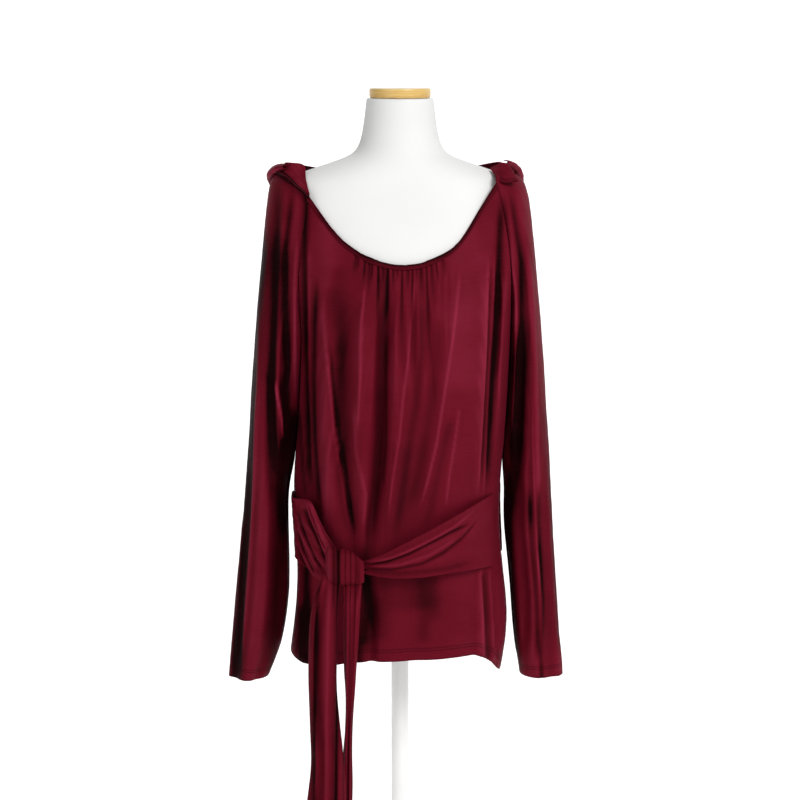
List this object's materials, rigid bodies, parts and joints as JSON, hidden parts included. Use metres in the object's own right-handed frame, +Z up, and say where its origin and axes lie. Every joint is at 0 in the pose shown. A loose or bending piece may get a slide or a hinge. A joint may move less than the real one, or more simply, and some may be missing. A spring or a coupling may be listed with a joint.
{
  "type": "hoodie on a dress form",
  "caption": "Wine jersey hoodie on a limbless dress form: gathered scoop neck, raglan sleeves, hood down the back, hip sash tied in a knot.",
  "frame": {"origin": "centre of the stand base's underside, on the floor", "axes": "+Z up, -Y out of the chest, +X towards the wearer's left"},
  "size_m": [0.4772, 0.33, 1.4938],
  "materials": {
    "wine_jersey": "fine knit jersey with a soft sheen",
    "form_cloth": "smooth matt white cover",
    "honey_wood": "satin varnish",
    "stand_metal": "satin white paint"
  },
  "bodies": {
    "root": {"front_panel": "wine_jersey", "back_panel": "wine_jersey", "sleeve_right": "wine_jersey", "sleeve_left": "wine_jersey", "neck_binding": "wine_jersey", "hood_right": "wine_jersey", "hood_left": "wine_jersey", "sash_front": "wine_jersey", "sash_back": "wine_jersey", "sash_coil": "wine_jersey", "sash_knot": "wine_jersey", "tail_outer": "wine_jersey", "tail_inner": "wine_jersey", "form_torso": "form_cloth", "form_cap": "honey_wood", "stand_pole": "stand_metal", "stand_collar": "stand_metal", "stand_base": "stand_metal"}
  },
  "joints": []
}
